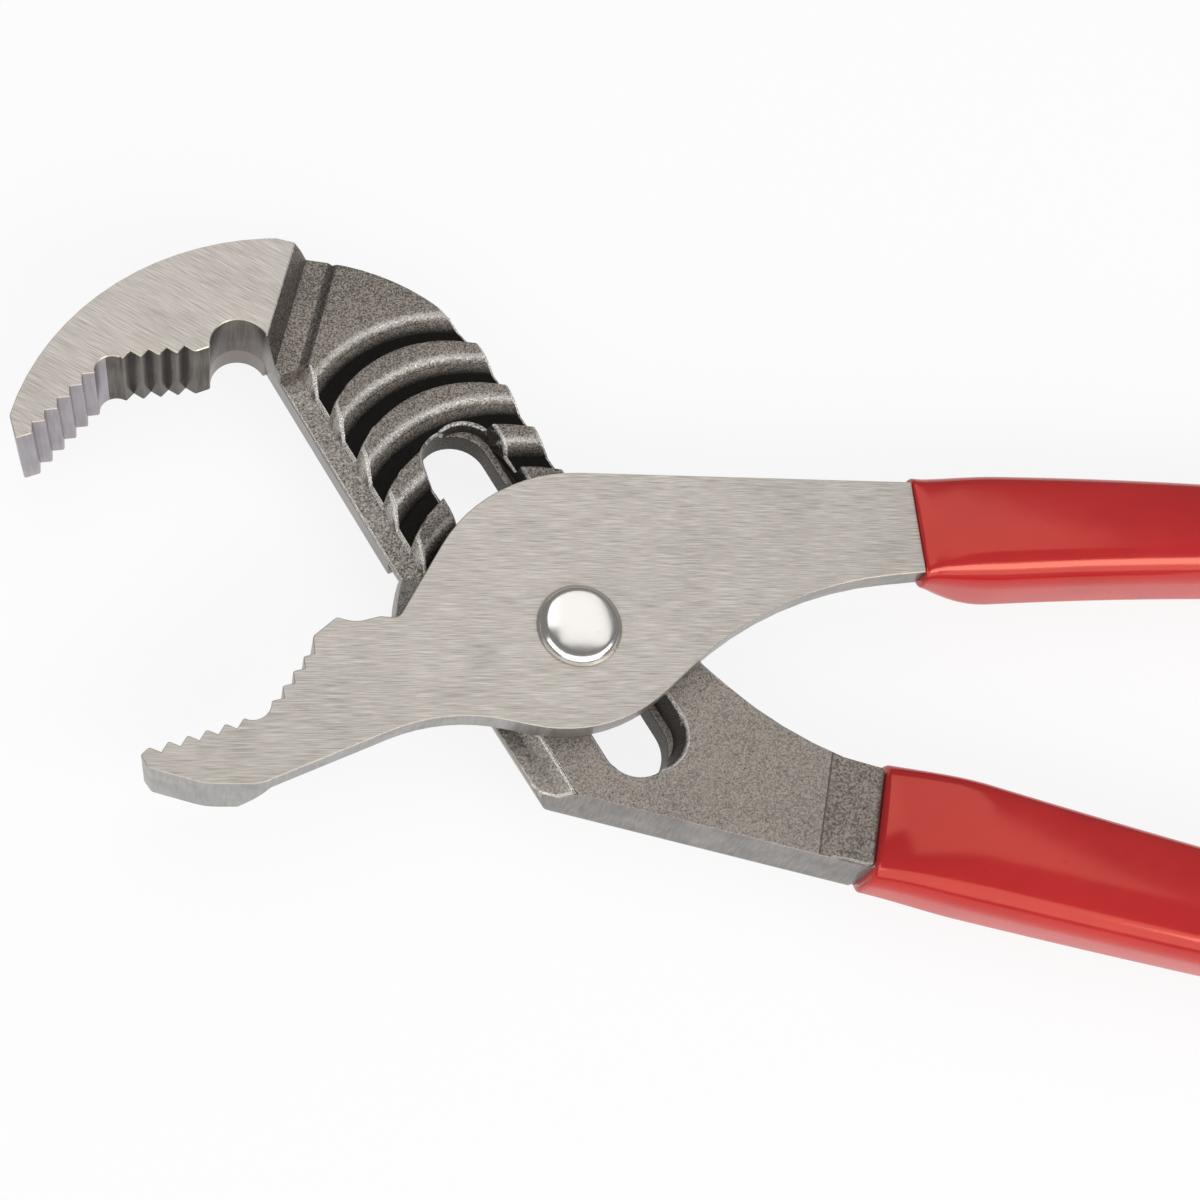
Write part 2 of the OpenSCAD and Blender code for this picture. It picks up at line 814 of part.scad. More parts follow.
module lower_grip() {
    low = [back_z - grip_face, lower_back - grip_face];
    high = [joint_z + lower_rise + grip_face, lower_top + grip_face];
    color([0.76, 0.2, 0.18])
        on_lower_handle()
            difference() {
                grip_skin(lower_len, lower_w, -lower_bow, low, high);
                tang(tang_loop(lower_w, lower_tang, -lower_bow, dip_gap), lower_profile(dip_gap));
            }
}

tongue_arm();
channel_arm();
pivot_bolt();
pivot_nut();
upper_grip();
lower_grip();
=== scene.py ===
"""Water pump pliers: two forged arms, a chrome pivot, its nut and two dipped grips, on a pale floor."""

import logging
import math
from dataclasses import dataclass
from enum import Enum
from typing import Any, Sequence, Union

import bmesh
import bpy
from bmesh.types import BMesh, BMEdge, BMFace, BMVert
from mathutils import Matrix, Vector


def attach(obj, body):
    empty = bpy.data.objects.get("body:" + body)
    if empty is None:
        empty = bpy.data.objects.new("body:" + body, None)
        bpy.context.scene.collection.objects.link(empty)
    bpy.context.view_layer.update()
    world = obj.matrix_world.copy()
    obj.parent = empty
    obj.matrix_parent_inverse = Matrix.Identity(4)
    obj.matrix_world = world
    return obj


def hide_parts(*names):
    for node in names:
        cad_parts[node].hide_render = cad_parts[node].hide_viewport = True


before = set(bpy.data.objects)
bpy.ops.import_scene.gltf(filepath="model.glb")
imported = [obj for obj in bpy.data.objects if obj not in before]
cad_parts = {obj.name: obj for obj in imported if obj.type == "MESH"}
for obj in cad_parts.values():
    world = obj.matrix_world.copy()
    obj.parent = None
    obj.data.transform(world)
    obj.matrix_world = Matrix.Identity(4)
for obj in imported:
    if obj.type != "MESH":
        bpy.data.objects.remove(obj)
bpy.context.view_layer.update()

MM = 0.001
FLAT = 0.9  # least share of a normal along an axis on a face that counts as square to it
LOG = logging.getLogger("pliers")

Colour = tuple[float, float, float, float]


def srgb(red: int, green: int, blue: int) -> Colour:
    """Turn a display colour into the linear colour that shaders take.

    Args:
        red: Red, 0 to 255.
        green: Green, 0 to 255.
        blue: Blue, 0 to 255.

    Returns:
        Linear red, green, blue and an alpha of one.
    """
    linear = []
    for level in (red, green, blue):
        part = level / 255
        linear.append(part / 12.92 if part <= 0.04045 else ((part + 0.055) / 1.055) ** 2.4)
    return (*linear, 1.0)


class Body(Enum):
    """Moving bodies of the tool."""

    CHANNEL = "channel"
    PIVOT = "pivot"
    TONGUE = "tongue"


class Slot(Enum):
    """Material slots of the part."""

    GROUND = "ground_steel"
    FORGED = "forged_steel"
    CHROME = "chrome"
    NUT = "nut_steel"
    VINYL = "red_vinyl"


class Region(Enum):
    """Kinds of surface on a forged arm, by the order of their materials."""

    FRONT = 0
    SIDE = 1
    TOOTH = 2
    FORGED = 3
    REAR_TOOTH = 4
    RISE = 5
    RELIEF = 6


class Edge(Enum):
    """Ways in which a forged arm's edges are eased: width, faces across and wear."""

    KEEN = (0.14, 1, 0.7)
    RUBBED = (0.42, 3, 0.62)
    BROKEN = (0.45, 3, 0.5)
    DULL = (0.3, 2, 0.1)
    SOFT = (0.9, 3, 0.05)


@dataclass(frozen=True)
class Value:
    """A node's output that takes part in Python arithmetic."""

    tree: bpy.types.NodeTree
    socket: bpy.types.NodeSocket

    def _math(self, operation: str, first: "Number", second: "Number") -> "Value":
        """Add one Math node.

        Args:
            operation: The node's operation.
            first: Left operand.
            second: Right operand.

        Returns:
            The node's result.
        """
        node = self.tree.nodes.new("ShaderNodeMath")
        node.operation = operation
        for socket, operand in zip(node.inputs, (first, second)):
            if isinstance(operand, Value):
                self.tree.links.new(operand.socket, socket)
            else:
                socket.default_value = operand
        return Value(self.tree, node.outputs[0])

    def __add__(self, other: "Number") -> "Value":
        """Sum."""
        return self._math("ADD", self, other)

    def __radd__(self, other: float) -> "Value":
        """Sum with a number on the left."""
        return self._math("ADD", other, self)

    def __sub__(self, other: "Number") -> "Value":
        """Difference."""
        return self._math("SUBTRACT", self, other)

    def __rsub__(self, other: float) -> "Value":
        """Difference from a number."""
        return self._math("SUBTRACT", other, self)

    def __mul__(self, other: "Number") -> "Value":
        """Product."""
        return self._math("MULTIPLY", self, other)

    def __rmul__(self, other: float) -> "Value":
        """Product with a number on the left."""
        return self._math("MULTIPLY", other, self)


Number = Union[Value, float]
Input = Union[Value, float, Sequence[float]]


class Shader:
    """Node tree of one material round a Principled shader."""

    def __init__(self, name: str) -> None:
        """Start a material.

        Args:
            name: The material's name.
        """
        self.material = bpy.data.materials.new(name)
        self.material.use_nodes = True
        self.tree = self.material.node_tree
        self.surface = self.tree.nodes["Principled BSDF"]

    def add(self, kind: str, settings: dict[str, Any], inputs: dict[Any, Input], output: int = 0) -> Value:
        """Add a node.

        Args:
            kind: The node's type.
            settings: Its settings, set before the inputs.
            inputs: Values or links by socket name or number.
            output: Number of the output to return.

        Returns:
            The chosen output.
        """
        node = self.tree.nodes.new(kind)
        for key, setting in settings.items():
            setattr(node, key, setting)
        for key, given in inputs.items():
            if isinstance(given, Value):
                self.tree.links.new(given.socket, node.inputs[key])
            else:
                node.inputs[key].default_value = given
        return Value(self.tree, node.outputs[output])

    def feed(self, **inputs: Input) -> None:
        """Set or link sockets of the Principled shader.

        Args:
            inputs: Values or links by socket name, with underscores for spaces.
        """
        for key, given in inputs.items():
            socket = self.surface.inputs[key.replace("_", " ")]
            if isinstance(given, Value):
                self.tree.links.new(given.socket, socket)
            else:
                socket.default_value = given

    def place(self, size: Sequence[float], turn: float = 0.0) -> Value:
        """Give object coordinates counted in cells of a size.

        Args:
            size: Cell size along each axis, in millimetres.
            turn: Turn of the cells about Z, in degrees.

        Returns:
            The mapped coordinates.
        """
        coords = self.add("ShaderNodeTexCoord", {}, {}, 3)
        return self.add(
            "ShaderNodeMapping",
            {"vector_type": "TEXTURE"},
            {"Vector": coords, "Rotation": (0, 0, math.radians(turn)), "Scale": [s * MM for s in size]},
        )

    def noise(
        self, size: Sequence[float], turn: float = 0.0, detail: float = 2.0, rough: float = 0.5
    ) -> Value:
        """Add smooth noise.

        Args:
            size: Grain size along each axis, in millimetres.
            turn: Turn of the grain about Z, in degrees.
            detail: Octaves of finer noise.
            rough: Strength of each finer octave.

        Returns:
            Noise about one half.
        """
        return self.add(
            "ShaderNodeTexNoise",
            {},
            {"Vector": self.place(size, turn), "Scale": 1.0, "Detail": detail, "Roughness": rough},
        )

    def step(self, value: Value, low: float, high: float) -> Value:
        """Add a soft step from zero to one.

        Args:
            value: What is compared.
            low: Where the step starts.
            high: Where it ends.

        Returns:
            The mask.
        """
        return self.add(
            "ShaderNodeMapRange",
            {"interpolation_type": "SMOOTHSTEP"},
            {"Value": value, "From Min": low, "From Max": high},
        )

    def mix(self, share: Value, first: Input, second: Input) -> Value:
        """Mix two colours.

        Args:
            share: Share of the second colour.
            first: Colour at zero.
            second: Colour at one.

        Returns:
            The mixed colour.
        """
        return self.add("ShaderNodeMix", {"data_type": "RGBA"}, {0: share, 6: first, 7: second}, 2)

    def mark(self, name: str) -> Value:
        """Read an attribute of the faces or points.

        Args:
            name: The attribute's name.

        Returns:
            Its value.
        """
        return self.add("ShaderNodeAttribute", {"attribute_name": name}, {}, 2)

    def bump(self, height: Value, depth: float, strength: float = 1.0) -> None:
        """Feed a bump into the shader's normal.

        Args:
            height: Height, zero to one.
            depth: Height of one, in millimetres.
            strength: Share of the bump.
        """
        self.feed(
            Normal=self.add(
                "ShaderNodeBump", {}, {"Height": height, "Distance": depth * MM, "Strength": strength}
            )
        )


@dataclass(frozen=True)
class BrushedSteel:
    """Ground and brushed flat steel with a straight grain and oiled edges."""

    name: str
    turn: float
    dark: Colour = srgb(155, 149, 142)
    light: Colour = srgb(221, 214, 206)
    edge: Colour = srgb(194, 180, 150)
    grain: tuple[float, float, float] = (4.5, 0.13, 0.13)
    metal: float = 0.75

    def material(self) -> bpy.types.Material:
        """Build the material."""
        shader = Shader(self.name)
        grain = shader.noise(self.grain, self.turn, 3.0, 0.6)
        long_grain = shader.noise([s * 3.2 for s in self.grain], self.turn, 2.0)
        cloud = shader.noise((14, 9, 9), self.turn, 2.0)
        tone = shader.step(grain * 0.8 + long_grain * 0.1 + cloud * 0.1, 0.28, 0.72)
        steel = shader.mix(tone, self.dark, self.light)
        shader.feed(
            Base_Color=shader.mix(shader.mark("wear") * 0.8, steel, self.edge),
            Metallic=self.metal,
            Roughness=0.36 + 0.16 * grain,
        )
        shader.bump(grain * 0.7 + long_grain * 0.3, 0.02, 0.5)
        return shader.material


@dataclass(frozen=True)
class ForgedSteel:
    """Dark pebbled forging with painted shade in its hollows, rubbed bright along its edges and lightened on
    its crests, partly by wear and partly as a painted highlight.
    """

    name: str
    deep: Colour = srgb(90, 84, 78)
    pale: Colour = srgb(178, 169, 160)
    # near-black colour of the painted shade in grooves, recesses, the crease and the jaw's step
    painted_shade: Colour = srgb(24, 22, 20)
    pit: Colour = srgb(52, 48, 45)
    # colour of rubbed bare metal, also used as a painted highlight on the crests
    bare_and_highlight: Colour = srgb(218, 213, 207)
    rubbed: Colour = srgb(192, 183, 173)
    rubbed_share: float = 0.0
    pebble: float = 0.3
    depth: float = 0.17

    def material(self) -> bpy.types.Material:
        """Build the material."""
        shader = Shader(self.name)
        pebble = shader.noise([self.pebble] * 3, 0.0, 3.0, 0.6)
        lump = shader.noise((1.6, 1.6, 1.6), 0.0, 2.0)
        cloud = shader.noise((12, 12, 12), 0.0, 2.0)
        tone = shader.step(pebble * 0.84 + lump * 0.06 + cloud * 0.1, 0.36, 0.64)
        skin = shader.mix(tone, self.deep, self.pale)
        pits = shader.step(shader.noise([self.pebble * 1.3] * 3, 40.0, 2.0, 0.5), 0.6, 0.7)
        along = shader.add("ShaderNodeSeparateXYZ", {}, {"Vector": shader.place((1, 1, 1), 28.0)}, 1)
        skin = shader.mix(shader.step(along, -4.0, -24.0) * self.rubbed_share, skin, self.rubbed)
        skin = shader.mix(pits * 0.45, skin, self.pit)
        # painted shade: two marks darken the skin towards a near-black shade colour in grooves, recesses and
        # on the rolls' lower slopes
        skin = shader.mix(shader.mark("painted_shade") + shader.mark("hollow"), skin, self.painted_shade)
        chip = shader.noise((0.4, 0.4, 0.5), 15.0, 3.0, 0.65)
        # partly wear and partly painted highlight: rubbed edges, chips and a crest band where a highlight
        # falls on the rolls turn the colour to bare metal and lower the roughness
        polish_and_highlight = shader.step(shader.mark("wear") + shader.mark("crest") + chip * 1.2, 0.8, 1.3)
        shader.feed(
            Base_Color=shader.mix(polish_and_highlight * 0.9, skin, self.bare_and_highlight),
            Metallic=0.85,
            Roughness=0.42 + 0.14 * pebble - 0.24 * polish_and_highlight,
        )
        shader.bump(pebble * 0.75 + lump * 0.15 - pits * 0.3, self.depth, 1.0)
        return shader.material


@dataclass(frozen=True)
class SmoothSteel:
    """Trimmed and polished side faces, faintly streaked through the thickness, lighter below a given height
    as a painted reflection of the floor.
    """

    name: str
    dark: Colour = srgb(128, 125, 122)
    light: Colour = srgb(178, 175, 172)
    edge: Colour = srgb(208, 200, 180)
    streak: tuple[float, float, float] = (0.4, 0.4, 5.0)
    rough: float = 0.3
    metal: float = 0.8
    foot: float = 0.0
    foot_reflection: Colour = srgb(150, 145, 141)

    def material(self) -> bpy.types.Material:
        """Build the material."""
        shader = Shader(self.name)
        streak = shader.noise(self.streak, 0.0, 3.0, 0.55)
        cloud = shader.noise((7, 7, 5), 0.0, 2.0)
        tone = shader.step(streak * 0.55 + cloud * 0.45, 0.2, 0.8)
        spot = shader.add("ShaderNodeTexCoord", {}, {}, 3)
        # painted reflection: below the foot height the colour turns lighter, as if the floor showed in the
        # faces
        height = shader.add("ShaderNodeSeparateXYZ", {}, {"Vector": spot}, 2) + (cloud - 0.5) * 0.6 * MM
        foot = shader.step(height, (self.foot + 0.2) * MM, (self.foot - 0.2) * MM)
        steel = shader.mix(foot, shader.mix(tone, self.dark, self.light), self.foot_reflection)
        shader.feed(
            Base_Color=shader.mix(shader.mark("wear") * 0.7, steel, self.edge),
            Metallic=self.metal,
            Roughness=self.rough + 0.14 * streak,
        )
        shader.bump(streak, 0.02, 0.5)
        return shader.material


@dataclass(frozen=True)
class ChromePlate:
    """Bright plating with a few hairline scratches."""

    name: str
    colour: Colour = srgb(222, 218, 213)

    def material(self) -> bpy.types.Material:
        """Build the material."""
        shader = Shader(self.name)
        hair = shader.noise((6.0, 0.1, 0.1), 24.0, 2.0)
        scratch = shader.step(hair, 0.66, 0.72)
        haze = shader.noise((4, 4, 4), 0.0, 2.0)
        shader.feed(Base_Color=self.colour, Metallic=1.0, Roughness=0.14 + 0.08 * haze + 0.12 * scratch)
        shader.bump(haze, 0.03, 0.5)
        return shader.material


@dataclass(frozen=True)
class NutSteel:
    """Plain cold-formed nut steel with an oily sheen."""

    name: str
    dark: Colour = srgb(118, 116, 114)
    light: Colour = srgb(168, 166, 162)
    edge: Colour = srgb(214, 212, 208)

    def material(self) -> bpy.types.Material:
        """Build the material."""
        shader = Shader(self.name)
        cloud = shader.noise((3, 3, 3), 0.0, 3.0)
        fine = shader.noise((0.35, 0.35, 0.35), 0.0, 2.0)
        tone = shader.step(cloud * 0.6 + fine * 0.4, 0.35, 0.65)
        steel = shader.mix(tone, self.dark, self.light)
        shader.feed(
            Base_Color=shader.mix(shader.mark("wear") * 0.6, steel, self.edge),
            Metallic=0.85,
            Roughness=0.3 + 0.16 * fine,
        )
        shader.bump(fine, 0.015, 0.5)
        return shader.material


@dataclass(frozen=True)
class RedVinyl:
    """Dipped red vinyl: glossy, slightly wavy, with a few dust nibs."""

    name: str
    deep: Colour = srgb(181, 38, 43)
    light: Colour = srgb(189, 42, 46)
    sheen: Colour = (1.0, 0.36, 0.24, 1.0)

    def material(self) -> bpy.types.Material:
        """Build the material."""
        shader = Shader(self.name)
        cloud = shader.noise((16, 10, 10), 0.0, 2.0)
        wave = shader.noise((9, 5, 5), 0.0, 1.0)
        peel = shader.noise((0.7, 0.7, 0.7), 0.0, 2.0)
        nib = shader.step(shader.noise((1.3, 1.3, 1.3), 0.0, 1.0), 0.78, 0.82)
        shader.feed(
            Base_Color=shader.mix(shader.step(cloud, 0.3, 0.7), self.deep, self.light),
            Roughness=0.1 + 0.05 * cloud + 0.02 * peel,
            IOR=1.9,
            Specular_Tint=self.sheen,
        )
        shader.bump(wave * 0.5 + peel * 0.06 + nib * 0.2, 0.1, 0.5)
        return shader.material


@dataclass(frozen=True)
class PaleFloor:
    """White studio floor that keeps a soft shadow."""

    name: str
    colour: Colour = (0.95, 0.95, 0.95, 1.0)
    glow: float = 0.86

    def material(self) -> bpy.types.Material:
        """Build the material."""
        shader = Shader(self.name)
        outputs = (0, 3, 6)  # camera, glossy and transmission rays
        path = [shader.add("ShaderNodeLightPath", {}, {}, number) for number in outputs]
        grain = shader.noise((1.5, 1.5, 1.5))
        shader.feed(Base_Color=self.colour, Roughness=0.6 + 0.1 * grain)
        seen = shader.add("ShaderNodeMath", {"operation": "MAXIMUM"}, {0: path[0], 1: path[1]})
        seen = shader.add("ShaderNodeMath", {"operation": "MAXIMUM"}, {0: seen, 1: path[2]})
        white = shader.add("ShaderNodeEmission", {}, {"Color": (1, 1, 1, 1), "Strength": 1.0})
        surface = Value(shader.tree, shader.surface.outputs[0])
        mixed = shader.add("ShaderNodeMixShader", {}, {0: seen * self.glow, 1: surface, 2: white})
        shader.tree.links.new(mixed.socket, shader.tree.nodes["Material Output"].inputs["Surface"])
        return shader.material


def merged_copy(node: str) -> BMesh:
    """Copy a CAD node's mesh with its triangles joined into flat faces.

    Args:
        node: The node's name.

    Returns:
        The copy, closed and free of doubles.
    """
    mesh = bmesh.new()
    mesh.from_mesh(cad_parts[node].data)
    bmesh.ops.remove_doubles(mesh, verts=mesh.verts[:], dist=0.002 * MM)
    bmesh.ops.dissolve_limit(
        mesh, angle_limit=math.radians(0.6), verts=mesh.verts[:], edges=mesh.edges[:], delimit={"MATERIAL"}
    )
    return mesh


def shade(mesh: BMesh, limit: float) -> None:
    """Shade faces of one finish smoothly across edges that bend less than a limit.

    Args:
        mesh: The mesh to shade.
        limit: Angle of the sharpest smooth edge, in degrees.
    """
    for face in mesh.faces:
        face.smooth = True
    for edge in mesh.edges:
        alike = len({face.material_index for face in edge.link_faces}) == 1
        edge.smooth = len(edge.link_faces) == 2 and alike and edge.calc_face_angle(0.0) < math.radians(limit)


def to_object(mesh: BMesh, name: str, materials: Sequence[bpy.types.Material]) -> bpy.types.Object:
    """Turn a finished mesh into an object in the scene.

    Args:
        mesh: The mesh, which is freed.
        name: The object's name.
        materials: Its materials, in order.

    Returns:
        The new object.
    """
    data = bpy.data.meshes.new(name)
    mesh.to_mesh(data)
    mesh.free()
    for material in materials:
        data.materials.append(material)
    made = bpy.data.objects.new(name, data)
    bpy.context.scene.collection.objects.link(made)
    return made


def sharp_edges(mesh: BMesh, limit: float) -> list[BMEdge]:
    """List the convex edges that bend more than a limit.

    Args:
        mesh: The mesh to search.
        limit: Smallest bend, in degrees.

    Returns:
        The edges.
    """
    return [
        edge
        for edge in mesh.edges
        if len(edge.link_faces) == 2 and edge.is_convex and edge.calc_face_angle() > math.radians(limit)
    ]


def ease_edges(mesh: BMesh, edges: Sequence[BMEdge], way: Edge) -> list[BMFace]:
    """Bevel edges and mark the new faces as worn.

    Args:
        mesh: The mesh to change.
        edges: The edges to bevel.
        way: Width of the bevel in millimetres, faces across it and their wear.

    Returns:
        The new faces.
    """
    width, segments, wear = way.value
    layer = mesh.faces.layers.float["wear"]
    made = bmesh.ops.bevel(
        mesh,
        geom=list(edges),
        offset=width * MM,
        offset_type="OFFSET",
        segments=segments,
        profile=0.5,
        affect="EDGES",
        clamp_overlap=False,
        material=-1,
        loop_slide=True,
    )
    for face in made["faces"]:
        face[layer] = wear
        face.tag = True
    return made["faces"]


@dataclass
class Arm:
    """One forged arm: the solid's mesh with eased edges and a finish for each region."""

    node: str
    body: Body
    slot: Slot
    tang_at: tuple[float, float]
    tang_turn: float
    tang_z: float = 12.0
    tang_share: float = 0.78
    tang_start: float = 2.0
    front_z: float = 19.1
    forged_bend: float = 24.0
    ground_bend: float = 40.0
    smooth_bend: float = 34.0
    weld: float = 0.01

    def tang_frame(self) -> Matrix:
        """Place the tang's frame: X runs along the handle from the sleeve's mouth."""
        there = Matrix.Translation(Vector((*self.tang_at, self.tang_z)) * MM)
        return there @ Matrix.Rotation(math.radians(self.tang_turn), 4, "Z")

    def thin_tang(self, mesh: BMesh) -> None:
        """Draw in the tang's hidden corners so that they stay inside the sleeve.

        Args:
            mesh: The mesh to change.
        """
        there = self.tang_frame()
        back = there.inverted()
        for vert in mesh.verts:
            spot = back @ vert.co
            if spot.x > self.tang_start * MM:
                vert.co = there @ Vector((spot.x, spot.y * self.tang_share, spot.z * self.tang_share))

    def region(self, face: BMFace) -> Region:
        """Tell the kind of surface that a face is part of."""
        raise NotImplementedError

    def finishes(self) -> list[bpy.types.Material]:
        """Build the arm's materials in the order of the regions."""
        raise NotImplementedError

    def wear(self, face: BMFace) -> float:
        """Tell how worn a face is before its edges are eased."""
        return 0.0

    def painted_shade(self, face: BMFace) -> float:
        """Tell how much painted shade a face gets."""
        return 0.0

    def edge(self, edge: BMEdge) -> Edge:
        """Tell how an edge away from the ground front is eased."""
        return Edge.DULL

    def is_front(self, face: BMFace) -> bool:
        """Tell whether a face lies on the ground front."""
        return face.normal.z > FLAT and face.calc_center_median().z > (self.front_z - 0.1) * MM

    def ease(self, mesh: BMesh) -> None:
        """Ease the forged edges first and the ground ones last.

        Args:
            mesh: The mesh to change.
        """
        for way in (Edge.SOFT, Edge.RUBBED, Edge.BROKEN, Edge.DULL):
            edges = [
                edge
                for edge in sharp_edges(mesh, self.forged_bend)
                if not any(self.is_front(face) for face in edge.link_faces) and self.edge(edge) is way
            ]
            fresh = [edge for edge in edges if not any(face.tag for face in edge.link_faces)]
            ease_edges(mesh, fresh, way)
        ground = [
            edge
            for edge in sharp_edges(mesh, self.ground_bend)
            if sum(self.is_front(face) for face in edge.link_faces) == 1
        ]
        ease_edges(mesh, ground, Edge.KEEN)

    def build(self) -> bpy.types.Object:
        """Build and dress the arm.

        Returns:
            The finished piece.
        """
        mesh = merged_copy(self.node)
        wear = mesh.faces.layers.float.new("wear")
        # strength of painted shade on each face, read by the forged finish
        painted_shade = mesh.faces.layers.float.new("painted_shade")
        for face in mesh.faces:
            face.material_index = self.region(face).value
            face[wear] = self.wear(face)
            face[painted_shade] = self.painted_shade(face)
        self.ease(mesh)
        self.thin_tang(mesh)
        bmesh.ops.remove_doubles(mesh, verts=mesh.verts[:], dist=self.weld * MM)
        shade(mesh, self.smooth_bend)
        made = to_object(mesh, self.node + "_dressed", self.finishes())
        weigh = made.modifiers.new("even_shading", "WEIGHTED_NORMAL")
        weigh.keep_sharp = True
        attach(made, self.body.value)
        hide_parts(self.node)
        return made


@dataclass
class TongueArm(Arm):
    """Lower jaw, flat plate with its boss and the upper handle's tang."""

    tooth_reach: float = -34.0
    tooth_out: tuple[float, float, float] = (-0.35, 0.94, 0.0)
    tooth_lean: float = -0.2
    back_z: float = 7.0

    def region(self, face: BMFace) -> Region:
        """Tell front, teeth, sides and the rough back apart."""
        centre = face.calc_center_median() / MM
        if abs(face.normal.z) > FLAT:
            return Region.FRONT if self.is_front(face) or centre.z < self.back_z else Region.FORGED
        if centre.x < self.tooth_reach and face.normal.dot(Vector(self.tooth_out)) > self.tooth_lean:
            return Region.TOOTH
        return Region.SIDE

    def finishes(self) -> list[bpy.types.Material]:
        """Build the arm's materials in the order of the regions."""
        return [
            BrushedSteel("plate_brushed", 0.0).material(),
            SmoothSteel("plate_sides").material(),
            SmoothSteel("lower_teeth", srgb(132, 126, 124), srgb(176, 170, 168)).material(),
            ForgedSteel("plate_back", srgb(110, 105, 100), srgb(150, 145, 138)).material(),
        ]


@dataclass
class ChannelArm(Arm):
    """Upper jaw, grooved neck with its slot and the lower handle's tang."""

    slot_turn: float = 28.0
    land_z: float = 14.2
    neck_left: float = 19.0
    slope_x: float = -13.2
    slot_half: float = 6.1
    notch_x: float = -43.5
    relief_x: float = -29.0
    first_y: float = 35.6
    crest_reach: float = 29.6
    jaw_y: float = 66.0
    handle_y: float = -20.0
    outer_y: float = -28.0
    strip_end: float = -34.0
    low_z: float = 10.0
    pitch: float = 8.9
    positions: int = 7
    groove_r: float = 22.6
    groove_depth: float = 2.4
    groove_floor: float = 2.9
    groove_slope: float = 1.2
    crest_r: float = 1.5
    crest_lean: float = 20.0
    lift: float = 0.06
    roll_run: float = 4.5
    roll_right: float = 17.0
    strip_lean: float = 0.62
    strip_wear: float = 0.3
    slope_wear: float = 0.34
    # the crest band is partly wear and partly a painted highlight; the hollow is painted shade on the rolls'
    # lower slopes
    crest_wear_and_highlight: float = 0.64
    crest_at: float = 0.52
    crest_half: float = 0.27
    hollow_shade: float = 0.95
    hollow_share: float = 0.5
    hollow_foot: float = -0.7
    # strengths of the painted shade on the crease, the jaw's step, the slot's walls and the grooves' floors
    crease_shade: float = 0.45
    step_shade: float = 0.3
    slot_shade: float = 0.8
    floor_shade: float = 0.85
    # strength of the painted shade line on the handle's fold
    fold_shade: float = 0.6
    fold: float = 9.0
    fold_half: float = 0.16
    net_x: tuple[float, float, float] = (-22.0, 16.0, 1.0)
    net_y: tuple[float, float, float] = (-14.0, 84.0, 0.5)

    def local(self, vector: Vector) -> Vector:
        """Turn a vector into the frame of the slot."""
        return Matrix.Rotation(-math.radians(self.slot_turn), 3, "Z") @ vector

    def region(self, face: BMFace) -> Region:
        """Tell the jaw's front, teeth and sides from the forged neck."""
        centre = self.local(face.calc_center_median()) / MM
        out = self.local(face.normal)
        if self.is_front(face):
            return Region.FRONT
        if centre.y > self.jaw_y and abs(out.z) < 0.1:
            if out.y > 0.3:
                return Region.SIDE
            if centre.x > self.relief_x:
                return Region.RELIEF if out.y < -0.15 or centre.x < -self.neck_left else Region.SIDE
            return Region.REAR_TOOTH if centre.x > self.notch_x else Region.TOOTH
        inner = out.x < -0.8 and centre.x < -self.neck_left + 1.5
        outer = out.y < -0.5 and centre.y < self.handle_y
        return Region.SIDE if inner or outer else Region.FORGED

    def past_fold(self, face: BMFace) -> float:
        """Measure how far a front face lies past the lower handle's fold.

        Args:
            face: Any face of the arm.

        Returns:
            Millimetres towards the sleeve, endless below zero for faces that aren't on the front.
        """
        centre = face.calc_center_median()
        if face.normal.z < FLAT or centre.z < self.low_z * MM:
            return -math.inf
        return (self.tang_frame().inverted() @ centre).x / MM + self.fold

    def draw_fold(self, mesh: BMesh) -> None:
        """Cut the lower handle's front on both sides of the fold where it rises to the sleeve.

        Args:
            mesh: The mesh to change.
        """
        there = self.tang_frame()
        out = there.to_3x3() @ Vector((1, 0, 0))
        for at in (-self.fold - self.fold_half, -self.fold + self.fold_half):
            faces = [face for face in mesh.faces if self.past_fold(face) > -math.inf]
            geom = list({part for face in faces for part in (face, *face.edges, *face.verts)})
            bmesh.ops.bisect_plane(
                mesh, geom=geom, dist=1e-7, plane_co=there @ Vector((at * MM, 0, 0)), plane_no=out
            )
        painted_shade = mesh.faces.layers.float["painted_shade"]
        for face in mesh.faces:
            past = self.past_fold(face)
            # painted shade: a dark line on the narrow strip at the fold; the front past it takes the rise's
            # finish, a painted lighter copy of the forging
            if abs(past) < self.fold_half:
                face[painted_shade] = self.fold_shade
            elif past > 0 and face.material_index == Region.FORGED.value:
                face.material_index = Region.RISE.value

    def is_crease(self, face: BMFace) -> bool:
        """Tell whether a face is a wall of the crease beside the jaw's step."""
        centre = self.local(face.calc_center_median()) / MM
        past = math.hypot(centre.x, centre.y - self.first_y) > self.crest_reach
        return past and 0.6 < face.normal.z < 0.95 and self.land_z - 0.7 < centre.z < self.land_z

    def wear(self, face: BMFace) -> float:
        """Rub the strip and the slope beside the grooves."""
        centre = self.local(face.calc_center_median()) / MM
        out = self.local(face.normal)
        if self.is_crease(face) or centre.z < self.land_z - 3.1 or centre.y > self.jaw_y:
            return 0.0
        if centre.x < self.slope_x and out.z > FLAT and centre.z < self.land_z - 2:
            return self.strip_wear
        return self.slope_wear if out.x < -0.5 and out.z > 0.3 else 0.0

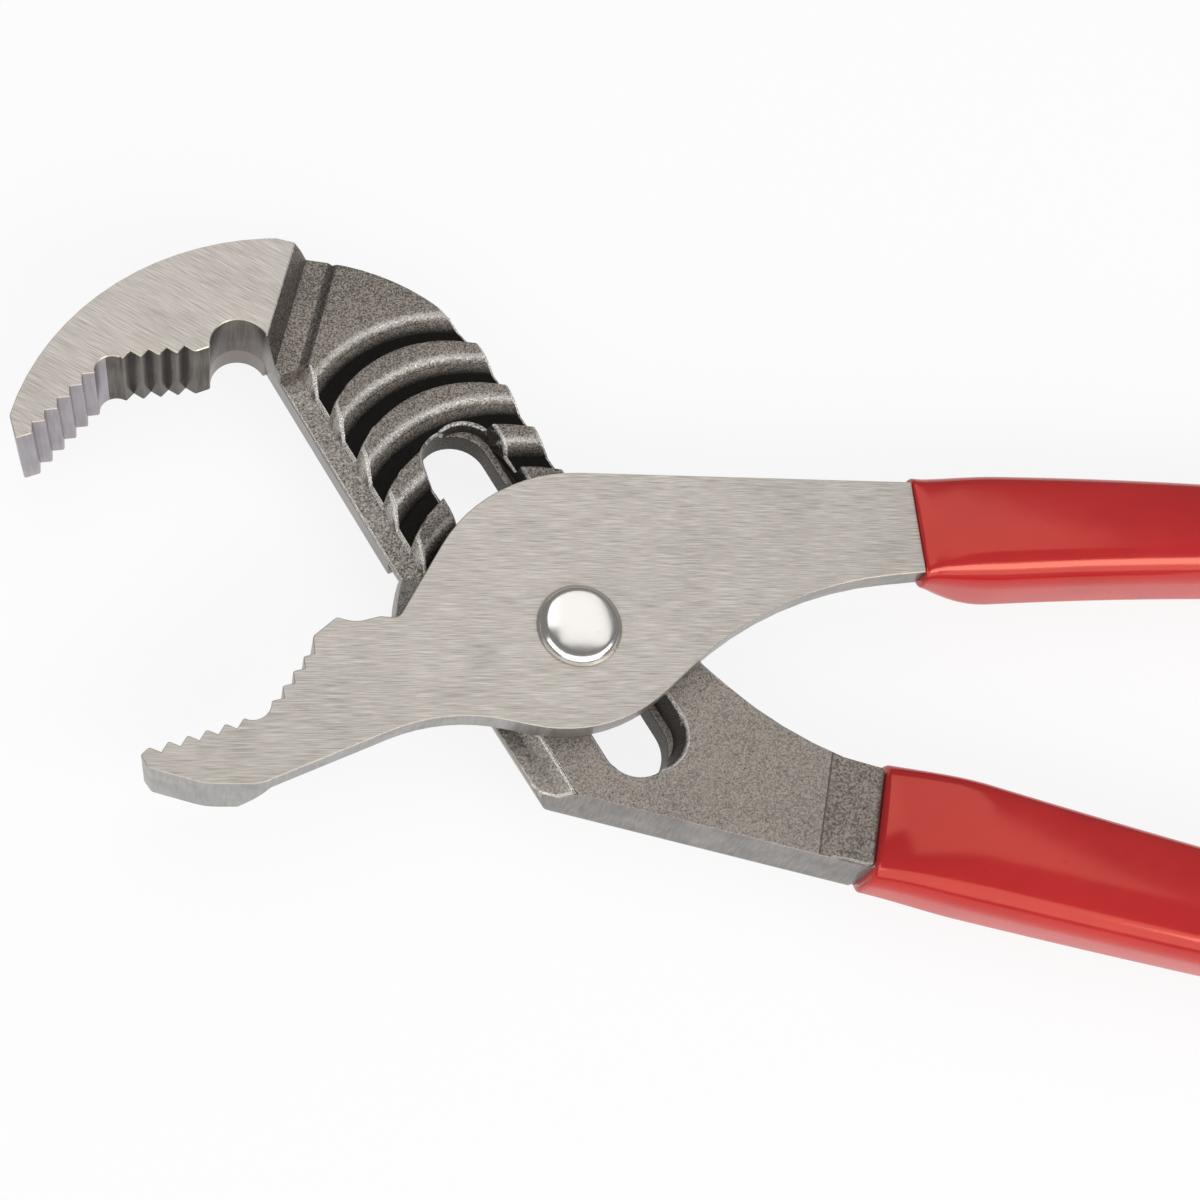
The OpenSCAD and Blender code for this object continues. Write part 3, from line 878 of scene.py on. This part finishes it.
    def painted_shade(self, face: BMFace) -> float:
        """Paint shade on the jaw's step, the grooves' floors, the slot's walls and the crease."""
        if self.is_crease(face):
            return self.crease_shade
        centre = self.local(face.calc_center_median()) / MM
        out = self.local(face.normal)
        if 0.2 < out.z < 0.6 and centre.z > self.land_z + 0.3 and centre.y > self.first_y:
            return self.step_shade
        if centre.y > self.jaw_y or centre.z > self.land_z - 0.2:
            return 0.0
        if abs(out.z) < 0.45 and abs(centre.x) < self.slot_half + 3.0 and centre.y > self.outer_y:
            return self.slot_shade
        floor = centre.x > self.slope_x and self.land_z - 2.6 < centre.z and centre.y > -10
        return self.floor_shade if floor and (out.z > 0.97 or abs(out.z) < 0.2) else 0.0

    def edge(self, edge: BMEdge) -> Edge:
        """Rub the strip, the slope and the slot's mouth, and leave the rest dull."""
        middle = self.local((edge.verts[0].co + edge.verts[1].co) / 2) / MM
        if self.is_outer(edge):
            return Edge.SOFT
        away = middle.z < self.low_z + 0.5 or middle.y > self.jaw_y - 5
        if away or any(self.is_crease(face) for face in edge.link_faces):
            return Edge.DULL
        if middle.x < self.slope_x + 2:
            return Edge.RUBBED if middle.y > self.strip_end else Edge.DULL
        walls = [self.local(face.normal) for face in edge.link_faces]
        load = any(wall.y > 0.35 and abs(wall.z) < 0.2 for wall in walls)
        return Edge.DULL if load or middle.y < self.strip_end else Edge.BROKEN

    def out_of_groove(self, spot: Vector) -> float:
        """Measure how far a place lies outside the load wall next below it.

        Args:
            spot: The place in the frame of the slot, in millimetres.

        Returns:
            The distance in millimetres, or a negative number away from the grooves.
        """
        for number in range(self.positions):
            rise = spot.y - self.first_y + number * self.pitch
            out = math.hypot(spot.x, rise) - self.groove_r
            if rise > 0 and out > -0.01:
                return out
        return -1.0

    def drop(self, out: float) -> float:
        """Tell how far a roll's surface lies below the solid's plain groove wall and land.

        Args:
            out: Distance outside the load wall, in millimetres.

        Returns:
            The depth in millimetres.
        """
        crest = self.groove_floor + self.groove_slope + self.crest_r
        share = (out - self.groove_floor) / self.roll_run
        if not 0 < share < 1:
            return 0.0
        bend = crest - self.crest_r * math.cos(math.radians(self.crest_lean))
        foot = self.crest_r * (1 - math.sin(math.radians(self.crest_lean))) - self.lift
        if out < bend:
            climb = (out - self.groove_floor) / (bend - self.groove_floor)
            plain = self.groove_depth - (self.groove_depth - foot) * climb
        else:
            across = max(0.0, crest - out)
            plain = max(0.0, self.crest_r - self.lift - math.sqrt(self.crest_r**2 - across**2))
        return max(0.0, self.groove_depth * (1 - share) ** 2 - plain)

    def roll(self, mesh: BMesh) -> None:
        """Cut the lands into a net, round them into rolls that fall to the grooves, and mark painted shade on
        the rolls' lower slopes and a crest band, partly wear and partly painted highlight, on their upper
        part.

        Args:
            mesh: The mesh to change.
        """
        crest, hollow = (mesh.verts.layers.float.new(name) for name in ("crest", "hollow"))
        faces = []
        for face in mesh.faces:
            spot = self.local(face.calc_center_median()) / MM
            near = self.net_x[0] < spot.x and self.net_y[0] < spot.y < self.net_y[1]
            if near and face.normal.z > 0.3 and abs(spot.z - self.land_z + 1.1) < 1.2 and not face.tag:
                faces.append(face)
        geom = list({part for face in faces for part in (face, *face.edges, *face.verts)})
        turn = Matrix.Rotation(math.radians(self.slot_turn), 3, "Z")
        for axis, (low, high, cell) in (((1, 0, 0), self.net_x), ((0, 1, 0), self.net_y)):
            out = turn @ Vector(axis)
            for step in range(int((high - low) / cell) + 1):
                place = out * (low + cell * step) * MM
                made = bmesh.ops.bisect_plane(mesh, geom=geom, dist=1e-7, plane_co=place, plane_no=out)
                geom = made["geom"]
        for vert in mesh.verts:
            spot = self.local(vert.co) / MM
            across = self.slope_x - 3 < spot.x < self.roll_right
            if abs(spot.z - self.land_z + 1.2) > 1.3 or not across or spot.y > self.jaw_y:
                continue
            out = self.out_of_groove(spot)
            fall = self.drop(out)
            lean = min(1.0, max(0.0, self.slope_x + 0.6 - spot.x)) * self.strip_lean * fall
            vert.co += turn @ Vector((-lean, 0, -fall)) * MM
            share = (out - self.groove_floor) / self.roll_run
            # painted shade on the roll's lower slope, and a crest band on its upper part that is partly wear
            # and partly a painted highlight
            if self.hollow_foot < share < 1:
                vert[hollow] = self.hollow_shade * min(1.0, max(0.0, 1 - share / self.hollow_share))
                vert[crest] = self.crest_wear_and_highlight * max(0.0, 1 - abs(share - self.crest_at) / self.crest_half)
        mesh.normal_update()

    def ease(self, mesh: BMesh) -> None:
        """Ease the edges, round the lands and draw the handle's fold.

        Args:
            mesh: The mesh to change.
        """
        super().ease(mesh)
        self.roll(mesh)
        self.draw_fold(mesh)

    def is_outer(self, edge: BMEdge) -> bool:
        """Tell whether an edge runs along the lower handle's outer side."""
        low = max(self.local(vert.co).y for vert in edge.verts) < self.outer_y * MM
        return low and any(self.local(face.normal).y < -0.5 for face in edge.link_faces)

    def finishes(self) -> list[bpy.types.Material]:
        """Build the arm's materials in the order of the regions."""
        return [
            BrushedSteel("jaw_brushed", -30.0).material(),
            SmoothSteel("neck_sides", srgb(112, 108, 105), srgb(160, 156, 153)).material(),
            SmoothSteel("upper_teeth", srgb(146, 140, 144), srgb(178, 172, 176)).material(),
            ForgedSteel("neck_forged", rubbed_share=0.34).material(),
            # painted shade: a much darker copy of the teeth steel on the rear teeth, standing in for the dark
            # surroundings they reflect; the lighter band below 1.7 mm is a painted reflection of the floor
            SmoothSteel(
                "upper_rear_teeth", srgb(62, 57, 53), srgb(112, 106, 100), rough=0.18, metal=1.0, foot=1.7
            ).material(),
            # painted light: a lighter, flatter copy of the forging colours on the rise before the sleeve,
            # standing in for the light the tilted rise catches; its coarser pebble is the forging's own
            ForgedSteel(
                "rise_forged_lit", srgb(106, 100, 94), srgb(170, 161, 152), pebble=0.4, depth=0.22
            ).material(),
            # its lighter band below 9.5 mm is a painted reflection of the floor
            SmoothSteel(
                "jaw_relief",
                srgb(78, 72, 68),
                srgb(122, 115, 110),
                rough=0.26,
                metal=0.9,
                foot=9.5,
                foot_reflection=srgb(134, 128, 124),
            ).material(),
        ]


@dataclass
class PivotBolt:
    """Domed chrome bolt with a threaded end."""

    node: str = "pivot_bolt"
    head_z: float = 19.2
    head_r: float = 6.9
    head_h: float = 2.2
    rim: float = 0.1
    dome_share: float = 0.74
    dome_turn: float = 12.0
    ring_turn: float = 70.0
    shank_r: float = 6.0
    thread_r: float = 4.0
    thread_top: float = 5.0
    thread_pitch: float = 1.0
    thread_depth: float = 0.45
    dome_steps: int = 10
    steps: int = 96
    smooth_bend: float = 32.0

    def profile(self) -> list[tuple[float, float]]:
        """List radius and height from the threaded end to the dome's top."""
        points = [(0.0, 0.0), (self.thread_r - self.thread_depth, 0.0)]
        count = int(self.thread_top / self.thread_pitch)
        for turn in range(count):
            low = turn * self.thread_pitch
            points.append((self.thread_r, low + self.thread_pitch * 0.5))
            points.append((self.thread_r - self.thread_depth, low + self.thread_pitch))
        points += [(self.shank_r, self.thread_top), (self.shank_r, self.head_z)]
        points.append((self.head_r - self.rim, self.head_z))
        inner, outer = math.radians(self.dome_turn), math.radians(self.ring_turn)
        dome_r = self.head_r * self.dome_share / math.sin(inner)
        ring_r = self.head_r * (1 - self.dome_share) / (math.sin(outer) - math.sin(inner))
        top = self.head_z + self.head_h
        bend = top - dome_r * (1 - math.cos(inner))
        for step in range(self.dome_steps):
            turn = outer + (inner - outer) * step / self.dome_steps
            across = self.head_r - ring_r * (math.sin(outer) - math.sin(turn))
            points.append((across, bend - ring_r * (math.cos(inner) - math.cos(turn))))
        for step in range(self.dome_steps + 1):
            turn = inner * (1 - step / self.dome_steps)
            points.append((dome_r * math.sin(turn), top - dome_r * (1 - math.cos(turn))))
        return points

    def build(self) -> bpy.types.Object:
        """Spin the bolt's profile and dress it.

        Returns:
            The finished piece.
        """
        mesh = bmesh.new()
        verts = [mesh.verts.new((r * MM, 0, z * MM)) for r, z in self.profile()]
        edges = [mesh.edges.new(pair) for pair in zip(verts, verts[1:])]
        bmesh.ops.spin(
            mesh,
            geom=verts + edges,
            cent=(0, 0, 0),
            axis=(0, 0, 1),
            dvec=(0, 0, 0),
            angle=math.tau,
            steps=self.steps,
            use_merge=True,
            use_duplicate=False,
        )
        bmesh.ops.remove_doubles(mesh, verts=mesh.verts[:], dist=0.001 * MM)
        bmesh.ops.recalc_face_normals(mesh, faces=mesh.faces[:])
        shade(mesh, self.smooth_bend)
        made = to_object(mesh, "pivot_bolt_dressed", [ChromePlate("pivot_chrome").material()])
        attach(made, Body.PIVOT.value)
        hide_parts(self.node)
        return made


@dataclass
class PivotNut:
    """Hexagon nut on the bolt's threaded end."""

    node: str = "pivot_nut"
    eased_bend: float = 20.0
    smooth_bend: float = 32.0

    def build(self) -> bpy.types.Object:
        """Ease the nut's edges and dress it.

        Returns:
            The finished piece.
        """
        mesh = merged_copy(self.node)
        mesh.faces.layers.float.new("wear")
        ease_edges(mesh, sharp_edges(mesh, self.eased_bend), Edge.KEEN)
        shade(mesh, self.smooth_bend)
        made = to_object(mesh, "pivot_nut_dressed", [NutSteel("nut_oiled").material()])
        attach(made, Body.PIVOT.value)
        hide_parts(self.node)
        return made


@dataclass
class Grip:
    """Dipped sleeve on a handle: rounded sections along the tang and a domed end."""

    node: str
    body: Body
    at: tuple[float, float]
    turn: float
    length: float
    width: float
    bow: float
    low: tuple[float, float]
    high: tuple[float, float]
    end_width: float = 12.6
    crown: float = 0.6
    wall: float = 1.39
    bulge: float = 0.7
    corner: float = 3.2
    brow: float = 6.0
    swell: float = 17.0
    cap: float = 7.0
    cap_turn: float = 82.0
    lip: float = 0.7
    lip_depth: float = 0.42
    short: float = 6.0
    start: float = 0.06
    corner_steps: int = 10
    crown_steps: int = 5
    body_steps: int = 56
    cap_steps: int = 10
    low_power: float = 1.8
    high_power: float = 2.0
    smooth_bend: float = 40.0

    def stations(self) -> list[float]:
        """List the places of the sections along the handle."""
        lips = [self.start + self.lip * share for share in (0.0, 0.12, 0.35, 0.65, 1.0)]
        body = self.length - self.cap - self.lip
        along = [self.lip + body * step / self.body_steps for step in range(1, self.body_steps + 1)]
        turns = [math.radians(self.cap_turn * step / self.cap_steps) for step in range(1, self.cap_steps + 1)]
        return lips + along + [self.length - self.cap + self.cap * math.sin(turn) for turn in turns]

    def ring(self, along: float) -> list[Vector]:
        """List the points of one section.

        Args:
            along: Distance from the mouth.

        Returns:
            The points in the handle's frame, in millimetres.
        """
        tang = self.length - self.short
        reach = min(along, tang) / tang
        past = max(0.0, along - self.length + self.cap) / self.cap
        round_off = math.sqrt(max(0.0, 1 - past * past))
        inset = self.lip_depth * (1 - along / self.lip) ** 2 if along < self.lip else 0.0
        linear = min(1.0, along / self.swell)
        share = linear * linear * (3 - 2 * linear)
        wall = self.wall + self.bulge * share - inset
        half = (self.width / 2 + (self.end_width - self.width) / 2 * reach + wall) * round_off
        low = self.low[0] + (self.low[1] - self.low[0]) * (1 - (1 - linear) ** self.low_power) + inset
        rise = 1 - (1 - linear) ** self.high_power
        high = self.high[0] + (self.high[1] - self.high[0]) * rise - inset
        middle, tall = (low + high) / 2, (high - low) / 2 * round_off
        upper, lower, back = (
            self.quarter(half, tall, round_off, radius) for radius in (self.corner, self.brow, self.corner)
        )
        front = upper + [(0.0, tall)] + [(-y, z) for y, z in reversed(lower)]
        rear = [(-y, -z) for y, z in back] + [(0.0, -tall)] + [(y, -z) for y, z in reversed(back)]
        side = 4 * self.bow * along / tang * (1 - along / tang)
        return [Vector((along, side + y, middle + z)) for y, z in front + rear]

    def quarter(self, half: float, tall: float, round_off: float, radius: float) -> list[tuple[float, float]]:
        """List the points of a quarter of a section, from its side to beside the crown's top.

        Args:
            half: Half of the section's width.
            tall: Half of its height.
            round_off: Share of the full size, at the domed end.
            radius: Radius of the corner.

        Returns:
            Distances across and up from the section's middle, in millimetres.
        """
        radius = min(radius, tall * 0.75) * round_off
        crown = min(self.crown, tall * 0.1) * round_off
        lean = math.atan2(2 * crown, half - radius)
        flat = half - radius * (1 - math.sin(lean))
        shoulder = tall - crown - radius * math.cos(lean)
        turns = [(math.pi / 2 - lean) * step / self.corner_steps for step in range(self.corner_steps + 1)]
        side = half - radius
        corner = [(side + radius * math.cos(turn), shoulder + radius * math.sin(turn)) for turn in turns]
        shares = [1 - step / self.crown_steps for step in range(1, self.crown_steps)]
        return corner + [(flat * share, tall - crown * share * share) for share in shares]

    def build(self) -> bpy.types.Object:
        """Draw the sections into a sleeve and dress it.

        Returns:
            The finished piece.
        """
        mesh = bmesh.new()
        stations = self.stations()
        count = len(self.ring(stations[0]))
        made = bmesh.ops.create_circle(mesh, cap_ends=True, segments=count, radius=MM)
        loop = list(made["verts"])
        for vert, point in zip(loop, self.ring(stations[0])):
            vert.co = point * MM
        edges = [mesh.edges.get((loop[i], loop[(i + 1) % count])) for i in range(count)]
        for along in stations[1:]:
            drawn = bmesh.ops.extrude_edge_only(mesh, edges=edges)["geom"]
            fresh = [item for item in drawn if isinstance(item, BMVert)]
            ends = [(edge.other_vert(vert), vert) for vert in fresh for edge in vert.link_edges]
            nearest = {old: new for old, new in ends if old in loop}
            loop = [nearest[old] for old in loop]
            for vert, point in zip(loop, self.ring(along)):
                vert.co = point * MM
            edges = [mesh.edges.get((loop[i], loop[(i + 1) % count])) for i in range(count)]
        bmesh.ops.contextual_create(mesh, geom=edges)
        bmesh.ops.recalc_face_normals(mesh, faces=mesh.faces[:])
        place = Matrix.Translation(Vector((*self.at, 0)) * MM)
        place = place @ Matrix.Rotation(math.radians(self.turn), 4, "Z")
        bmesh.ops.transform(mesh, matrix=place, verts=mesh.verts[:])
        shade(mesh, self.smooth_bend)
        piece = to_object(mesh, self.node + "_dressed", [RedVinyl(self.node + "_vinyl").material()])
        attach(piece, self.body.value)
        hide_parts(self.node)
        return piece


@dataclass(frozen=True)
class Softbox:
    """Large soft lamp aimed at a point of the tool."""

    name: str
    place: tuple[float, float, float]
    aim: tuple[float, float, float]
    size: tuple[float, float]
    watts: float

    def build(self) -> bpy.types.Object:
        """Hang the lamp.

        Returns:
            The lamp.
        """
        data = bpy.data.lights.new(self.name, "AREA")
        data.shape = "RECTANGLE"
        data.size, data.size_y = self.size
        data.energy = self.watts
        lamp = bpy.data.objects.new(self.name, data)
        lamp.location = self.place
        lamp.rotation_euler = (Vector(self.aim) - Vector(self.place)).to_track_quat("-Z", "Y").to_euler()
        bpy.context.scene.collection.objects.link(lamp)
        return lamp


@dataclass(frozen=True)
class Studio:
    """Pale floor, soft lamps and the camera above the tool."""

    eye: tuple[float, float, float] = (-0.05651, -0.08944, 0.24840)
    right: tuple[float, float, float] = (0.97170, -0.08066, 0.22203)
    up: tuple[float, float, float] = (-0.00916, 0.92633, 0.37661)
    back: tuple[float, float, float] = (-0.23605, -0.36799, 0.89937)
    lens: float = 48.0
    sensor: float = 36.0
    floor_reach: float = 4.0
    floor_z: float = -0.0004
    world: float = 0.25

    def floor(self) -> None:
        """Lay the floor."""
        mesh = bmesh.new()
        bmesh.ops.create_circle(mesh, cap_ends=True, segments=96, radius=self.floor_reach)
        bmesh.ops.translate(mesh, verts=mesh.verts[:], vec=(0, 0, self.floor_z))
        to_object(mesh, "floor", [PaleFloor("floor_white").material()])

    def lamps(self) -> None:
        """Hang the lamps and set the level of the room."""
        Softbox("overhead", (0.28, 0.56, 0.90), (0.28, 0.56, 0.0), (0.72, 1.08), 2.6).build()
        Softbox("ceiling", (-0.29, 0.68, 0.90), (-0.29, 0.68, 0.0), (0.42, 0.88), 1.6).build()
        Softbox("right_strip", (0.62, -0.45, 0.50), (0.05, 0.0, 0.0), (0.7, 0.22), 2.2).build()
        Softbox("left_fill", (-0.68, -0.48, 0.55), (0.0, 0.0, 0.0), (0.7, 0.45), 2.1).build()
        Softbox("front_fill", (0.15, -0.80, 0.50), (0.05, 0.0, 0.0), (1.6, 0.7), 5.6).build()
        room = bpy.data.worlds.new("room")
        room.use_nodes = True
        sky = room.node_tree.nodes["Background"]
        sky.inputs["Color"].default_value = (1.0, 1.0, 1.0, 1.0)
        sky.inputs["Strength"].default_value = self.world
        bpy.context.scene.world = room

    def camera(self) -> None:
        """Set the camera at the place from which the tool is seen."""
        data = bpy.data.cameras.new("eye")
        data.lens = self.lens
        data.sensor_width = self.sensor
        data.clip_start = 0.005
        seen = bpy.data.objects.new("eye", data)
        axes = Matrix((self.right, self.up, self.back)).transposed().to_4x4()
        seen.matrix_world = Matrix.Translation(self.eye) @ axes
        bpy.context.scene.collection.objects.link(seen)
        bpy.context.scene.camera = seen

    def build(self) -> None:
        """Set up floor, light, camera and view."""
        self.floor()
        self.lamps()
        self.camera()
        bpy.context.scene.view_settings.view_transform = "Standard"


def write_sizes() -> None:
    """Update the view layer."""
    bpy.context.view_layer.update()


def main() -> None:
    """Build the pieces in order and set up the studio."""
    logging.basicConfig(level=logging.INFO, format="%(name)s: %(message)s")
    upper_mouth, upper_turn = (61.0, 18.55), 0.0
    lower_mouth, lower_turn = (47.72, -31.595), -15.6
    pieces = [
        TongueArm("tongue_arm", Body.TONGUE, Slot.GROUND, upper_mouth, upper_turn),
        ChannelArm("channel_arm", Body.CHANNEL, Slot.FORGED, lower_mouth, lower_turn),
        PivotBolt(),
        PivotNut(),
        Grip(
            "upper_grip",
            Body.TONGUE,
            upper_mouth,
            upper_turn,
            length=107.0,
            width=16.9,
            bow=1.4,
            low=(13.3, 3.8),
            high=(20.1, 20.1),
        ),
        Grip(
            "lower_grip",
            Body.CHANNEL,
            lower_mouth,
            lower_turn,
            length=114.0,
            width=17.5,
            bow=-0.7,
            low=(4.1, 5.1),
            high=(16.6, 19.9),
        ),
    ]
    for piece in pieces:
        made = piece.build()
        LOG.info("%s: %d faces", made.name, len(made.data.polygons))
    write_sizes()
    Studio().build()


if __name__ == "__main__":
    main()
